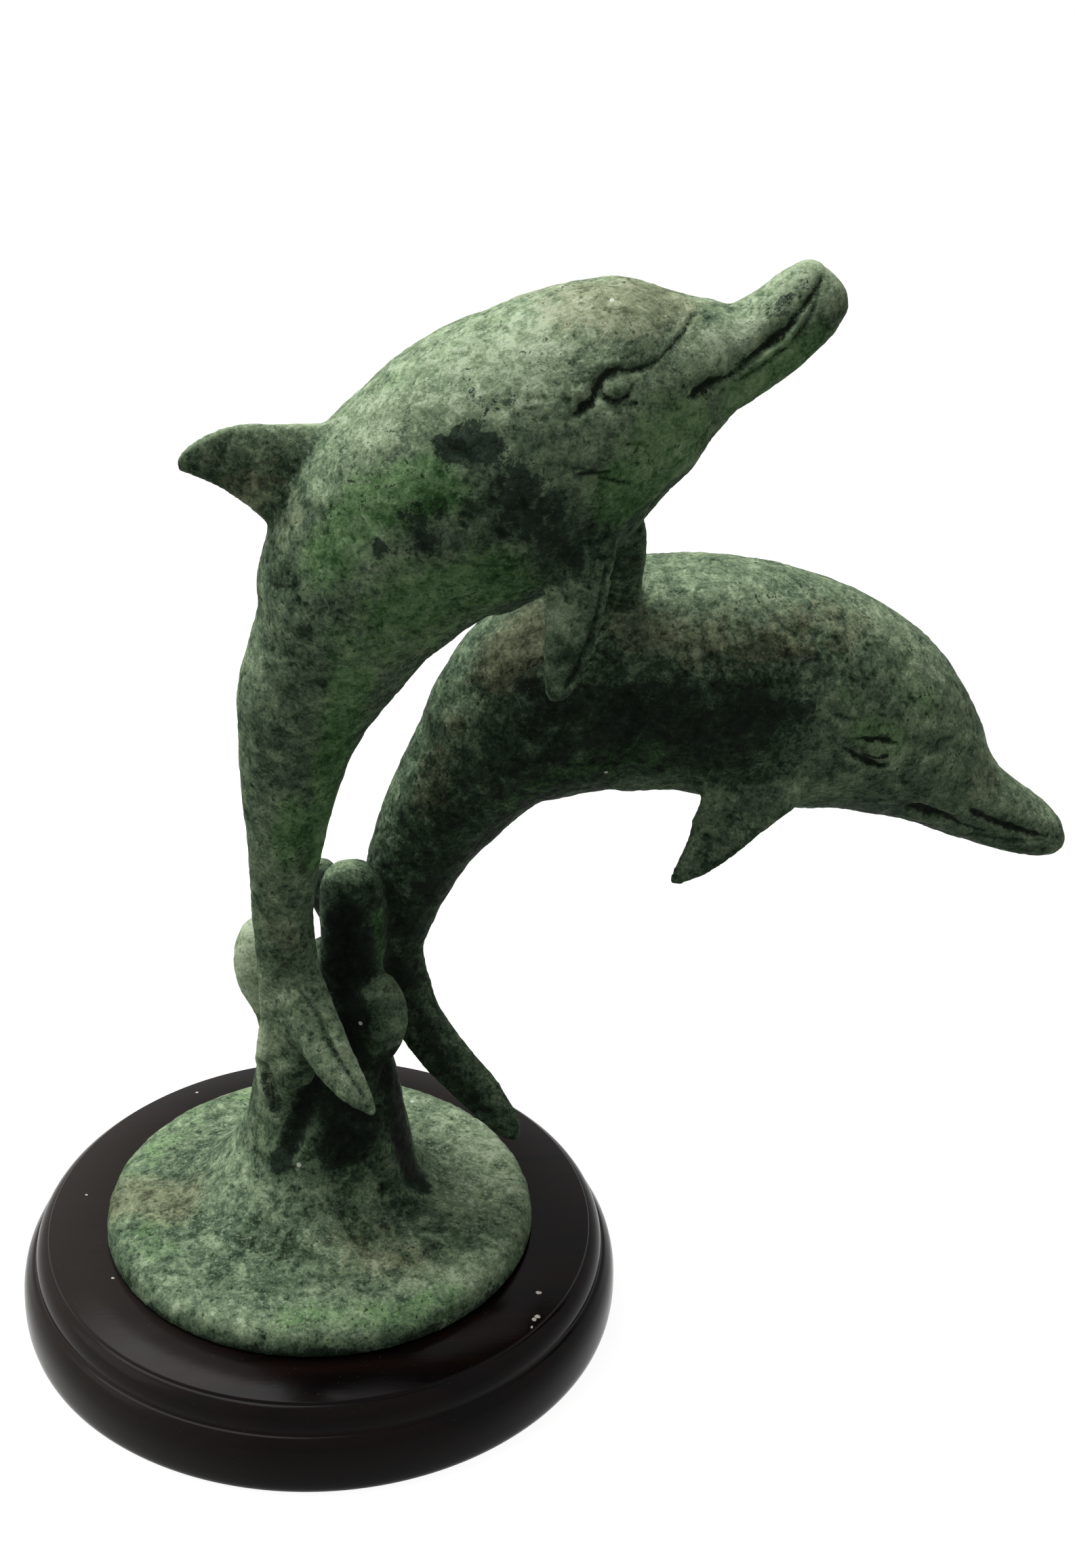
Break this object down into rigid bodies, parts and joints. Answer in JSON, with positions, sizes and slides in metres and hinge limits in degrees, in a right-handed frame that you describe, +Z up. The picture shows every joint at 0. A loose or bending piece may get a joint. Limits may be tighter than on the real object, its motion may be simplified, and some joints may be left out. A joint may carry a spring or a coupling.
{
  "type": "dolphin figurine",
  "caption": "Bronze casting of a pair of leaping dolphins rising from a splash on a round mound, screwed to a turned dark wooden plinth.",
  "frame": {"origin": "on the axis of the turned plinth, at the plane the felt pad rests on", "axes": "+Z up along the plinth's axis, +X the way both beaks point, -Y the side the picture shows"},
  "size_m": [0.3163, 0.1812, 0.3309],
  "materials": {
    "bronze": "matte verdigris patina over cast bronze",
    "plinth_wood": "satin dark mahogany lacquer",
    "screw_steel": "zinc plated",
    "washer_steel": "zinc plated",
    "felt": "black felt"
  },
  "bodies": {
    "root": {"dolphin_casting": "bronze", "wooden_plinth": "plinth_wood", "fixing_screw": "screw_steel", "screw_washer": "washer_steel", "felt_pad": "felt"}
  },
  "joints": []
}
